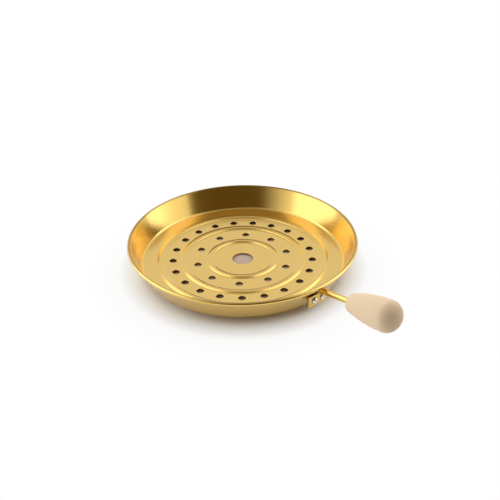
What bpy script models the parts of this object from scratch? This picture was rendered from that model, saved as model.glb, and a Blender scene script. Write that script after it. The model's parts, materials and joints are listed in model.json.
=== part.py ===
"""Perforated spirit stove pan with a riveted rod handle and a turned wooden grip.

Metres, +Z up. The fuel tray under the pan stands on z = 0 and the handle points along +X. The origin is the middle
of the whole object's footprint, so the pan's own axis lies on the -X side of it.
"""

import math

import bmesh
import bpy
from mathutils import Matrix, Vector

MM = 0.001

# Fits: the gap between pieces that are seated on each other, and around what passes through a hole
SEAT_GAP = 0.3 * MM
HOLE_GAP = 0.3 * MM

# Pan: the rim is rolled outwards over a wire
RIM_RADIUS = 100.0 * MM
RIM_HEIGHT = 25.2 * MM
CURL_RADIUS = 1.5 * MM
CURL_END = math.radians(-117.0)
SHEET = 0.6 * MM
WALL_FLARE = 11.4 * MM
CORNER_FILLET = 2.4 * MM

# Floor: slightly dished, so its height is given at the outer circle of holes, and the rise is from there to the wall
FLOOR_HEIGHT = 4.6 * MM
DISH_RISE = 1.4 * MM

# Raised rings pressed into the floor
RING_RADII = (29.3 * MM, 52.5 * MM, 72.5 * MM)
RING_WIDTH = 8.4 * MM
RING_RISE = 1.0 * MM
RING_STEPS = 6

# Holes in the floor: the outer and inner circles and the large one in the middle
VENT_RADIUS = 3.25 * MM
OUTER_CIRCLE, OUTER_COUNT = 61.65 * MM, 21
INNER_CIRCLE, INNER_COUNT = 40.4 * MM, 10
OUTER_START = math.radians(11.25)
INNER_START = math.radians(28.2)
CENTRE_HOLE_RADIUS = 9.25 * MM

# Fuel tray: the pan stands on its lip, which reaches up into the hollow under the outermost ring
TRAY_RADIUS = 72.8 * MM
TRAY_CHAMFER = 0.8 * MM

# Wick pad that lies in the tray
PAD_RIM_GAP = 4.0 * MM
PAD_THICKNESS = 0.7 * MM

# Bracket: an upright plate that hangs under the rim, a wedge that seats it on the leaning wall and a pin for the rod
PLATE_WIDTH = 22.0 * MM
PLATE_THICKNESS = 1.6 * MM
PLATE_LIP = 0.4 * MM
PLATE_BACK_GAP = 0.5 * MM
PLATE_DROP = 3.6 * MM
WEDGE_WIDTH = 14.0 * MM
WEDGE_RISE = 1.3 * MM
NECK_WIDTH = 5.0 * MM
NECK_TIP = 0.4 * MM
NECK_BACK_GAP = 0.9 * MM
NECK_HALF_HEIGHT = 2.0 * MM
PIN_RADIUS = 1.2 * MM
PIN_LENGTH = 9.0 * MM

# Rivets, which lie level through the plate, the wedge and the wall, and are set inside on a washer
RIVET_RADIUS = 1.5 * MM
RIVET_SPACING = 8.8 * MM
RIVET_RISE = 5.0 * MM
RIVET_CORNER_GAP = 0.7 * MM
HEAD_RADIUS = 2.65 * MM
HEAD_HEIGHT = 1.5 * MM
TAIL_RADIUS = 2.5 * MM
TAIL_HEIGHT = 1.1 * MM
WASHER_RADIUS = 3.4 * MM
WASHER_THICKNESS = 0.6 * MM

# Handle: the rod tilts up as it leaves the pan, and the grip is turned about it
ROD_RADIUS = 2.5 * MM
ROD_RIM_GAP = 1.2 * MM
ROD_TILT = math.radians(11.0)
ROD_SHOWING = 31.6 * MM
ROD_IN_GRIP = 17.0 * MM
INSERT_RADIUS = 3.9 * MM
INSERT_LENGTH = 15.0 * MM
GRIP_LENGTH = 44.6 * MM
GRIP_FACE_RADIUS = 7.2 * MM
GRIP_RADIUS = 12.45 * MM
GRIP_WIDEST = 0.75
GRIP_SWELL = 0.86
GRIP_END_POWER = 2.2

# Facets
PAN_STEPS = 64
VENT_STEPS = 14
WIRE_SIDES = 6
ROD_STEPS = 20
GRIP_STEPS = 32
RIVET_STEPS = 16


# Sharp corner between floor and wall inside the pan
CORNER_RADIUS = RIM_RADIUS - WALL_FLARE
CORNER_HEIGHT = FLOOR_HEIGHT + DISH_RISE
DISH_CURVE = DISH_RISE / (CORNER_RADIUS**2 - OUTER_CIRCLE**2)
CORNER_SLOPE = math.atan(2 * DISH_CURVE * CORNER_RADIUS)


def floor_top(radius):
    """Height of the dished floor's upper face between the rings."""
    return FLOOR_HEIGHT + DISH_CURVE * (radius**2 - OUTER_CIRCLE**2)


def wall_lean():
    """How far the wall leans from upright: its inner face is tangent to the outside of the roll."""
    across = RIM_RADIUS - CURL_RADIUS - CORNER_RADIUS
    up = RIM_HEIGHT - CORNER_HEIGHT
    return math.atan2(across, up) - math.asin(CURL_RADIUS / math.hypot(across, up))


LEAN = wall_lean()


def wall_inner(z):
    """Radius of the wall's inner face at a height."""
    return CORNER_RADIUS + (z - CORNER_HEIGHT) * math.tan(LEAN)


def wall_outer(z):
    return wall_inner(z) + SHEET / math.cos(LEAN)


# Places that follow from the sizes, measured from the pan's axis
CORNER_BACK = CORNER_FILLET * math.tan((math.pi / 2 - LEAN - CORNER_SLOPE) / 2)
CORNER_TOP = CORNER_HEIGHT + CORNER_BACK * math.cos(LEAN)
ROD_HEIGHT = RIM_HEIGHT - CURL_RADIUS - ROD_RIM_GAP - ROD_RADIUS
PLATE_TOP = ROD_HEIGHT - PLATE_DROP
PLATE_FACE = wall_outer(PLATE_TOP) + PLATE_BACK_GAP + PLATE_LIP
NECK_TOP = ROD_HEIGHT + NECK_HALF_HEIGHT * math.cos(ROD_TILT)
NECK_FACE = wall_outer(NECK_TOP) + SEAT_GAP + NECK_TIP + NECK_HALF_HEIGHT * math.sin(ROD_TILT)
RIVET_HEIGHT = CORNER_TOP + WASHER_RADIUS * math.cos(LEAN) + RIVET_CORNER_GAP
PLATE_BOTTOM = RIVET_HEIGHT - RIVET_RISE
WEDGE_BOTTOM = PLATE_BOTTOM + WEDGE_RISE
ROD_LENGTH = ROD_SHOWING + ROD_IN_GRIP


def arc(centre, radius, start, end, steps):
    """Points along an arc in the section plane, both ends included."""
    turn = (end - start) / steps
    return [
        (centre[0] + radius * math.cos(start + turn * k), centre[1] + radius * math.sin(start + turn * k))
        for k in range(steps + 1)
    ]


def offset(points, distance):
    """The line of points moved sideways, to the right of its direction, with mitred corners."""
    moved = []
    for k, point in enumerate(points):
        before = points[max(k - 1, 0)]
        after = points[min(k + 1, len(points) - 1)]
        ways = [
            (Vector(b) - Vector(a)).normalized() for a, b in ((before, point), (point, after)) if a != b
        ]
        sides = [Vector((way.y, -way.x)) for way in ways]
        middle = sum(sides, Vector((0.0, 0.0))).normalized()
        moved.append(tuple(Vector(point) + middle * distance / middle.dot(sides[0])))
    return moved


def grip_outline():
    """(distance along the grip, radius): a swelling neck, then a rounded end."""
    neck_steps, end_steps = 9, 7
    widest = GRIP_LENGTH * GRIP_WIDEST
    outline = []
    for k in range(neck_steps + 1):
        share = k / neck_steps
        swell = math.sin(0.5 * math.pi * share) ** GRIP_SWELL
        outline.append((widest * share, GRIP_FACE_RADIUS + (GRIP_RADIUS - GRIP_FACE_RADIUS) * swell))
    for k in range(1, end_steps + 1):
        share = math.sin(0.5 * math.pi * k / end_steps)
        fall = math.sqrt(max(1.0 - share**GRIP_END_POWER, 0.0))
        outline.append((widest + (GRIP_LENGTH - widest) * share, GRIP_RADIUS * fall))
    return outline


def handle_reach():
    """Distance from the pan's axis to the far end of the tilted grip."""
    start = NECK_FACE + SEAT_GAP * math.cos(ROD_TILT)
    return start + max(
        (ROD_SHOWING + along) * math.cos(ROD_TILT) + radius * math.sin(ROD_TILT) for along, radius in grip_outline()
    )


PAN_X = (RIM_RADIUS - handle_reach()) / 2
PAN_PLACE = Matrix.Translation((PAN_X, 0.0, 0.0))


def finish(name, colour, roughness, metallic):
    material = bpy.data.materials.new(name)
    material.use_nodes = True
    shader = material.node_tree.nodes["Principled BSDF"]
    shader.inputs["Base Color"].default_value = (*colour, 1.0)
    shader.inputs["Roughness"].default_value = roughness
    shader.inputs["Metallic"].default_value = metallic
    material.diffuse_color = (*colour, 1.0)
    return material


def place(name, mesh_builder, material, matrix, smooth_angle=40.0):
    """A named object from a bmesh, smooth except at its sharp edges."""
    bmesh.ops.recalc_face_normals(mesh_builder, faces=mesh_builder.faces)
    mesh = bpy.data.meshes.new(name)
    mesh_builder.to_mesh(mesh)
    mesh_builder.free()
    mesh.shade_smooth()
    mesh.set_sharp_from_angle(angle=math.radians(smooth_angle))
    if material:
        mesh.materials.append(material)
    obj = bpy.data.objects.new(name, mesh)
    bpy.context.scene.collection.objects.link(obj)
    obj.matrix_world = matrix
    return obj


def turned(section, steps, closed=True):
    """A bmesh turned about Z from (radius, height) points; an open section starts and ends on the axis."""
    made = bmesh.new()
    points = [made.verts.new((radius, 0.0, height)) for radius, height in section]
    edges = [made.edges.new(pair) for pair in zip(points, points[1:])]
    if closed:
        edges.append(made.edges.new((points[-1], points[0])))
    bmesh.ops.spin(
        made,
        geom=points + edges,
        cent=(0.0, 0.0, 0.0),
        axis=(0.0, 0.0, 1.0),
        angle=math.tau,
        steps=steps,
        use_merge=True,
    )
    bmesh.ops.remove_doubles(made, verts=made.verts, dist=1e-7)
    return made


def extruded(section, width):
    """A bmesh of an (x, z) outline drawn out along Y, half the width to each side."""
    made = bmesh.new()
    face = made.faces.new([made.verts.new((x, -width / 2, z)) for x, z in section])
    grown = bmesh.ops.extrude_face_region(made, geom=[face])["geom"]
    verts = [item for item in grown if isinstance(item, bmesh.types.BMVert)]
    bmesh.ops.translate(made, verts=verts, vec=(0.0, width, 0.0))
    return made


def rods(places, radius, length, steps):
    """One bmesh with a cylinder at each place, centred there and running along its Z."""
    made = bmesh.new()
    for matrix in places:
        bmesh.ops.create_cone(
            made, cap_ends=True, segments=steps, radius1=radius, radius2=radius, depth=length, matrix=matrix
        )
    return made


def helper(name, mesh_builder, matrix):
    """A shape that only cuts or joins another one."""
    obj = place(name, mesh_builder, None, matrix)
    obj.hide_render = True
    obj.display_type = "WIRE"
    return obj


def combine(obj, other, operation):
    modifier = obj.modifiers.new(other.name, "BOOLEAN")
    modifier.operation = operation
    modifier.solver = "EXACT"
    modifier.object = other


def pan_section():
    """The pressed sheet's section: its upper face from the middle hole to the end of the roll, and back below."""
    upper = [(CENTRE_HOLE_RADIUS, floor_top(CENTRE_HOLE_RADIUS))]
    for middle in RING_RADII:
        for k in range(RING_STEPS + 1):
            share = 2 * k / RING_STEPS - 1
            radius = middle + share * RING_WIDTH / 2
            upper.append((radius, floor_top(radius) + RING_RISE * (1 + math.cos(math.pi * share)) / 2))
    along = Vector((math.cos(CORNER_SLOPE), math.sin(CORNER_SLOPE)))
    across = Vector((-along.y, along.x))
    fillet_centre = Vector((CORNER_RADIUS, CORNER_HEIGHT)) - along * CORNER_BACK + across * CORNER_FILLET
    upper += arc(fillet_centre, CORNER_FILLET, CORNER_SLOPE - math.pi / 2, -LEAN, 4)
    curl_centre = (RIM_RADIUS - CURL_RADIUS, RIM_HEIGHT)
    upper += arc(curl_centre, CURL_RADIUS, math.pi - LEAN, 0.0, 5)
    upper += arc(curl_centre, CURL_RADIUS, 0.0, CURL_END, 3)[1:]
    return upper + offset(upper, SHEET)[::-1]


def circle_places(radius, count, start):
    """Places at the floor around the pan's axis."""
    turns = (start + math.tau * k / count for k in range(count))
    return [
        Matrix.Translation((radius * math.cos(turn), radius * math.sin(turn), FLOOR_HEIGHT)) for turn in turns
    ]


def rivet_place(side):
    """Where a rivet's head meets the plate, with Z along the rivet and out of the pan."""
    spot = Matrix.Translation((PLATE_FACE, side * RIVET_SPACING / 2, RIVET_HEIGHT))
    return PAN_PLACE @ spot @ Matrix.Rotation(math.pi / 2, 4, "Y")


def wall_place(side, distance):
    """On a rivet's line, this far inside the wall's inner face, with Z square to the wall and into the pan."""
    across = side * RIVET_SPACING / 2
    turn = math.asin(across / wall_inner(RIVET_HEIGHT))
    inwards = distance / (math.cos(LEAN) * math.cos(turn))
    along = wall_inner(RIVET_HEIGHT) * math.cos(turn) - inwards
    lie = Matrix.Rotation(turn, 4, "Z") @ Matrix.Rotation(LEAN - math.pi / 2, 4, "Y")
    return PAN_PLACE @ Matrix.Translation((along, across, RIVET_HEIGHT)) @ lie


def rivet_holes(length):
    """A cutter for both rivets, long enough to pass the plate, the wedge and the wall."""
    return rods([rivet_place(side) for side in (-1, 1)], RIVET_RADIUS + HOLE_GAP, length, RIVET_STEPS)


def make_pan(gold):
    pan = place("pan", turned(pan_section(), PAN_STEPS), gold, PAN_PLACE)
    vents = circle_places(OUTER_CIRCLE, OUTER_COUNT, OUTER_START)
    vents += circle_places(INNER_CIRCLE, INNER_COUNT, INNER_START)
    combine(pan, helper("vent_cutter", rods(vents, VENT_RADIUS, 4 * FLOOR_HEIGHT, VENT_STEPS), PAN_PLACE), "DIFFERENCE")
    reach = 2 * (PLATE_FACE - wall_inner(PLATE_BOTTOM) + WASHER_RADIUS)
    combine(pan, helper("wall_cutter", rivet_holes(reach), Matrix.Identity(4)), "DIFFERENCE")


def make_tray(gold):
    """The shallow tray that holds the fuel under the perforated floor and carries the pan."""
    crest = floor_top(TRAY_RADIUS) + RING_RISE
    lip = crest - SHEET - SEAT_GAP - 0.1 * RING_RISE
    inner = TRAY_RADIUS - SHEET
    section = [
        (0.0, 0.0),
        (TRAY_RADIUS - TRAY_CHAMFER, 0.0),
        (TRAY_RADIUS, TRAY_CHAMFER),
        (TRAY_RADIUS, lip),
        (inner, lip),
        (inner, SHEET + TRAY_CHAMFER / 2),
        (inner - TRAY_CHAMFER / 2, SHEET),
        (0.0, SHEET),
    ]
    place("fuel_tray", turned(section, PAN_STEPS, closed=False), gold, PAN_PLACE)


def make_pad(fibre):
    """The wick pad that lies in the tray."""
    low = SHEET + SEAT_GAP
    high = low + PAD_THICKNESS
    edge = TRAY_RADIUS - SHEET - PAD_RIM_GAP
    section = [(0.0, low), (edge, low), (edge, high), (0.0, high)]
    place("wick_pad", turned(section, PAN_STEPS // 2, closed=False), fibre, PAN_PLACE)


def make_rim_wire(steel):
    wire_radius = CURL_RADIUS - SHEET - SEAT_GAP
    section = arc((RIM_RADIUS - CURL_RADIUS, RIM_HEIGHT), wire_radius, 0.0, math.tau, WIRE_SIDES)[:-1]
    place("rim_wire", turned(section, PAN_STEPS), steel, PAN_PLACE, smooth_angle=70.0)


def handle_line():
    """An empty at the rod's end by the bracket, with Z along the rod and away from the pan."""
    line = bpy.data.objects.new("handle_line", None)
    bpy.context.scene.collection.objects.link(line)
    start = (NECK_FACE + SEAT_GAP * math.cos(ROD_TILT), 0.0, ROD_HEIGHT + SEAT_GAP * math.sin(ROD_TILT))
    line.matrix_world = PAN_PLACE @ Matrix.Translation(start) @ Matrix.Rotation(math.pi / 2 - ROD_TILT, 4, "Y")
    return line


def on_line(obj, line, along=0.0):
    """Seats a turned piece on the handle's line."""
    obj.parent = line
    obj.matrix_parent_inverse = Matrix.Identity(4)
    obj.matrix_basis = Matrix.Translation((0.0, 0.0, along))


def plate_meets():
    """Height where the plate's upright back comes up to the leaning wall."""
    back = PLATE_FACE - PLATE_THICKNESS
    return CORNER_HEIGHT + (back - PLATE_BACK_GAP - wall_outer(CORNER_HEIGHT)) / math.tan(LEAN)


def wedge_section():
    """The wedge between plate and wall, seen from the side."""
    front = PLATE_FACE - PLATE_THICKNESS / 2
    top = plate_meets() - PLATE_BACK_GAP
    return [
        (wall_outer(WEDGE_BOTTOM) + SEAT_GAP, WEDGE_BOTTOM),
        (front, WEDGE_BOTTOM),
        (front, top),
        (wall_outer(top) + SEAT_GAP, top),
    ]


def neck_section():
    """The narrow neck above the wedge that the rod butts against, seen from the side."""
    low = (WEDGE_BOTTOM + plate_meets()) / 2
    sine, cosine = math.sin(ROD_TILT), math.cos(ROD_TILT)
    neck_top = (NECK_FACE - NECK_HALF_HEIGHT * sine, NECK_TOP)
    neck_bottom = (NECK_FACE + NECK_HALF_HEIGHT * sine, ROD_HEIGHT - NECK_HALF_HEIGHT * cosine)
    front = PLATE_FACE - PLATE_THICKNESS / 4
    return [
        (wall_outer(low) + NECK_BACK_GAP, low),
        (front, low),
        (front, neck_bottom[1] - (NECK_FACE - PLATE_FACE)),
        neck_bottom,
        neck_top,
        (wall_outer(NECK_TOP) + SEAT_GAP, NECK_TOP),
    ]


def plate_section():
    """The upright plate from the side; its back is cut away where it meets the leaning wall."""
    back = PLATE_FACE - PLATE_THICKNESS
    return [
        (back, PLATE_BOTTOM),
        (PLATE_FACE, PLATE_BOTTOM),
        (PLATE_FACE, PLATE_TOP),
        (PLATE_FACE - PLATE_LIP, PLATE_TOP),
        (back, plate_meets()),
    ]


def make_bracket(gold):
    bracket = place("handle_bracket", extruded(wedge_section(), WEDGE_WIDTH), gold, PAN_PLACE)
    combine(bracket, helper("bracket_plate", extruded(plate_section(), PLATE_WIDTH), PAN_PLACE), "UNION")
    combine(bracket, helper("bracket_neck", extruded(neck_section(), NECK_WIDTH), PAN_PLACE), "UNION")
    root = -NECK_TIP
    middle = (root + PIN_LENGTH) / 2
    along = Matrix.Translation((NECK_FACE, 0.0, ROD_HEIGHT)) @ Matrix.Rotation(math.pi / 2 - ROD_TILT, 4, "Y")
    pin = rods([along @ Matrix.Translation((0.0, 0.0, middle))], PIN_RADIUS, PIN_LENGTH - root, RIVET_STEPS)
    combine(bracket, helper("bracket_pin", pin, PAN_PLACE), "UNION")
    reach = 2 * (PLATE_FACE - wall_outer(PLATE_BOTTOM))
    combine(bracket, helper("bracket_cutter", rivet_holes(reach), Matrix.Identity(4)), "DIFFERENCE")


def make_rivets(silver):
    """Each rivet is a domed head and shank, joined to a tail that is set square to the leaning wall."""
    washer_inside = SEAT_GAP + WASHER_THICKNESS
    tail_middle = washer_inside + SEAT_GAP + TAIL_HEIGHT / 2
    for side, name in ((-1, "left"), (1, "right")):
        seat = rivet_place(side)
        tail_place = wall_place(side, tail_middle)
        depth = (tail_place.translation - seat.translation).length
        dome = arc((0.0, SEAT_GAP), 1.0, 0.0, math.pi / 2, 5)
        section = [(HEAD_RADIUS * x, SEAT_GAP + HEAD_HEIGHT * (z - SEAT_GAP)) for x, z in dome[:-1]]
        section = [(0.0, -depth), (RIVET_RADIUS, -depth), (RIVET_RADIUS, SEAT_GAP)] + section
        section.append((0.0, SEAT_GAP + HEAD_HEIGHT))
        rivet = place(f"rivet_{name}", turned(section, RIVET_STEPS, closed=False), silver, seat)
        tail = rods([Matrix.Identity(4)], TAIL_RADIUS, TAIL_HEIGHT, RIVET_STEPS)
        combine(rivet, helper(f"rivet_tail_{name}", tail, tail_place), "UNION")
        hole = RIVET_RADIUS / math.cos(LEAN) + HOLE_GAP
        low, high = -WASHER_THICKNESS / 2, WASHER_THICKNESS / 2
        ring = [(hole, low), (WASHER_RADIUS, low), (WASHER_RADIUS, high), (hole, high)]
        washer_place = wall_place(side, SEAT_GAP + WASHER_THICKNESS / 2)
        place(f"rivet_washer_{name}", turned(ring, RIVET_STEPS), silver, washer_place)


def make_rod(gold, line):
    """The rod, bored at its pan end for the bracket's pin."""
    bore = PIN_RADIUS + HOLE_GAP
    deep = PIN_LENGTH + HOLE_GAP
    section = [(0.0, deep), (bore, deep), (bore, 0.0), (ROD_RADIUS, 0.0), (ROD_RADIUS, ROD_LENGTH), (0.0, ROD_LENGTH)]
    on_line(place("handle_rod", turned(section, ROD_STEPS, closed=False), gold, Matrix.Identity(4)), line)


def make_grip(wood, brass, line):
    """The turned grip, bored for the bush that holds the rod's end."""
    rod_hole = ROD_RADIUS + HOLE_GAP
    bush_hole = INSERT_RADIUS + SEAT_GAP
    bush_end = INSERT_LENGTH + SEAT_GAP
    rod_end = ROD_IN_GRIP + SEAT_GAP
    bore = [(0.0, rod_end), (rod_hole, rod_end), (rod_hole, bush_end), (bush_hole, bush_end), (bush_hole, 0.0)]
    section = bore + [(radius, along) for along, radius in grip_outline()]
    on_line(place("grip", turned(section, GRIP_STEPS, closed=False), wood, Matrix.Identity(4)), line, ROD_SHOWING)
    bush = [(rod_hole, 0.0), (INSERT_RADIUS, 0.0), (INSERT_RADIUS, INSERT_LENGTH), (rod_hole, INSERT_LENGTH)]
    on_line(place("grip_insert", turned(bush, ROD_STEPS), brass, Matrix.Identity(4)), line, ROD_SHOWING)


def main():
    for obj in list(bpy.data.objects):
        bpy.data.objects.remove(obj, do_unlink=True)
    gold = finish("gold_sheet", (0.72, 0.50, 0.15), 0.28, 1.0)
    rod_gold = finish("gold_rod", (0.76, 0.53, 0.16), 0.15, 1.0)
    silver = finish("bright_rivet", (0.78, 0.77, 0.75), 0.3, 1.0)
    steel = finish("steel_wire", (0.55, 0.54, 0.52), 0.4, 1.0)
    brass = finish("brass_bush", (0.70, 0.52, 0.24), 0.35, 1.0)
    wood = finish("pale_wood", (0.81, 0.63, 0.43), 0.6, 0.0)
    fibre = finish("wick_fibre", (0.42, 0.37, 0.33), 0.9, 0.0)
    make_pan(gold)
    make_tray(gold)
    make_pad(fibre)
    make_rim_wire(steel)
    make_bracket(gold)
    make_rivets(silver)
    line = handle_line()
    make_rod(rod_gold, line)
    make_grip(wood, brass, line)


main()
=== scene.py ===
"""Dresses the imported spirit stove: a gold pan, its tray, riveted handle, turned grip and a studio."""

import json
import math

import bmesh
import bpy
from bpy.props import FloatProperty, FloatVectorProperty, IntProperty, PointerProperty
from mathutils import Matrix, Vector

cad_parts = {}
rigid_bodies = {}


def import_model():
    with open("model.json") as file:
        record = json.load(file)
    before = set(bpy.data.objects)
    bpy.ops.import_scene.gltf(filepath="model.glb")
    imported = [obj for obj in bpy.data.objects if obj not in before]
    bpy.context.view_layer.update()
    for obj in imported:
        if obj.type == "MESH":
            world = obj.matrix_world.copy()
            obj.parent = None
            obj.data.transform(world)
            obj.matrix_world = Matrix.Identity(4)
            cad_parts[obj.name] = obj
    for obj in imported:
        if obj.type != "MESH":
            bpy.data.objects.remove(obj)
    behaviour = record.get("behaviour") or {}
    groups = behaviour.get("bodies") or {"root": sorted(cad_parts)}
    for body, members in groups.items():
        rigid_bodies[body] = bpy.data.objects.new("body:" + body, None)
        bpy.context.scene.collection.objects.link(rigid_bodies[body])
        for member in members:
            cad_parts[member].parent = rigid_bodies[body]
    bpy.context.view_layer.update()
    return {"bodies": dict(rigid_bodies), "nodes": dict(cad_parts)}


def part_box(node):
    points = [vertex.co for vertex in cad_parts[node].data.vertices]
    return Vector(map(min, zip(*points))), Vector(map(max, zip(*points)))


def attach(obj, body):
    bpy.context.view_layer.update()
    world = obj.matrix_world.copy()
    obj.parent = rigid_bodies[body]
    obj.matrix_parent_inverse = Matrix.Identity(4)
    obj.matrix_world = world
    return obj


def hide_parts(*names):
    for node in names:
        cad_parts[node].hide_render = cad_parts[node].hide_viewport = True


bl_info = {
    "name": "Perforated stove pan",
    "version": (1, 0, 0),
    "blender": (4, 5, 0),
    "location": "View3D > Sidebar > Stove pan",
    "description": "Builds a perforated gold pan with a rod handle and a wooden grip round its CAD model",
    "category": "Add Mesh",
}

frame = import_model()

MM = 0.001
BODY = "root"
PAN_LOW, PAN_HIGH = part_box("pan")
WIRE_LOW, WIRE_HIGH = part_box("rim_wire")
PLATE_LOW, PLATE_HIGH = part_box("handle_bracket")
ROD_LOW, ROD_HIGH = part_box("handle_rod")
TRAY_LOW, TRAY_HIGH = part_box("fuel_tray")
PAD_LOW, PAD_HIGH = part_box("wick_pad")
PAN_AXIS = Vector(((PAN_LOW.x + PAN_HIGH.x) / 2, 0.0, 0.0))
PAN_PLACE = Matrix.Translation(PAN_AXIS)
FLOAT, VECTOR = "NodeSocketFloat", "NodeSocketVector"


def length(name, description, default):
    return FloatProperty(name=name, description=description, default=default, unit="LENGTH", precision=5)


def colour(name, description, default):
    return FloatVectorProperty(
        name=name, description=description, default=default, size=3, subtype="COLOR", min=0.0, max=1.0
    )


def angle(name, description, degrees):
    return FloatProperty(name=name, description=description, default=math.radians(degrees), subtype="ANGLE")


def power(name, description, default):
    return FloatProperty(name=name, description=description, default=default, unit="POWER")


def number(name, description, default):
    return FloatProperty(name=name, description=description, default=default)


class PanSizes(bpy.types.PropertyGroup):
    """Sizes of the pressed pan and its tray, measured from the pan's axis and the table."""

    rim_radius: length("Rim radius", "Outside of the rolled rim", (PAN_HIGH.x - PAN_LOW.x) / 2)
    rim_height: length("Rim height", "Middle of the roll above the table", (WIRE_LOW.z + WIRE_HIGH.z) / 2)
    curl_radius: length("Roll radius", "Outside of the roll", 1.5 * MM)
    roll_turn: angle("Roll turn", "How far round the sheet is rolled", 270.0)
    sheet: length("Sheet", "Thickness of the pressed sheet", 0.6 * MM)
    wall_flare: length("Wall flare", "How far the rim stands out from the foot of the wall", 11.4 * MM)
    corner_fillet: length("Corner fillet", "Rounding between the floor and the wall", 2.4 * MM)
    floor_height: length("Floor height", "Top of the floor at the outer circle of holes", 4.6 * MM)
    dish_rise: length("Dish rise", "From the outer circle of holes up to the wall", 1.4 * MM)
    inner_ring: length("Inner ring", "Radius of the inner raised ring", 29.3 * MM)
    middle_ring: length("Middle ring", "Radius of the middle raised ring", 52.5 * MM)
    outer_ring: length("Outer ring", "Radius of the outer raised ring", 72.5 * MM)
    ring_width: length("Ring width", "Foot to foot across a raised ring", 8.4 * MM)
    ring_rise: length("Ring rise", "Height of a raised ring", 1.0 * MM)
    vent_radius: length("Vent radius", "Each small hole in the floor", 3.25 * MM)
    centre_hole: length("Centre hole", "Radius of the large hole in the middle", 9.25 * MM)
    outer_circle: length("Outer circle", "Radius of the outer circle of holes", 61.65 * MM)
    inner_circle: length("Inner circle", "Radius of the inner circle of holes", 40.4 * MM)
    outer_count: IntProperty(name="Outer holes", description="Holes on the outer circle", default=21)
    inner_count: IntProperty(name="Inner holes", description="Holes on the inner circle", default=10)
    outer_start: angle("Outer start", "Where the outer circle of holes starts", 11.25)
    inner_start: angle("Inner start", "Where the inner circle of holes starts", 28.2)
    edge_chamfer: length("Edge chamfer", "Softened edge of a punched hole", 0.1 * MM)
    tray_radius: length("Tray radius", "Outside of the fuel tray", (TRAY_HIGH.x - TRAY_LOW.x) / 2)
    tray_height: length("Tray height", "Top of the tray's lip above the table", TRAY_HIGH.z)
    tray_corner: length("Tray corner", "Rounding outside the tray's bottom", 0.9 * MM)
    tray_fillet: length("Tray fillet", "Rounding inside the tray's bottom", 0.4 * MM)
    pad_radius: length("Pad radius", "Wick pad in the tray", (PAD_HIGH.x - PAD_LOW.x) / 2)
    pad_edge: length("Pad edge", "Rounding of the wick pad's edges", 0.2 * MM)
    gold: colour("Gold", "Anodised sheet", (0.80, 0.54, 0.135))
    # Painted shade: the dark colour painted along the crease where the wall turns into the roll, and how
    # much of it is mixed in
    crease_shade: colour("Crease", "Dull line where the wall turns into the roll", (0.34, 0.21, 0.05))
    crease_shade_share: number("Crease share", "How much of the dull colour that line takes", 0.85)
    coat: number("Coat", "Weight of the clear layer over the gold", 0.6)
    coat_roughness: number("Coat roughness", "Roughness of the clear layer", 0.1)
    fibre: colour("Fibre", "Woven wick pad", (0.64, 0.49, 0.39))
    steel: colour("Steel", "Wire in the rolled rim", (0.55, 0.54, 0.52))


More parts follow.
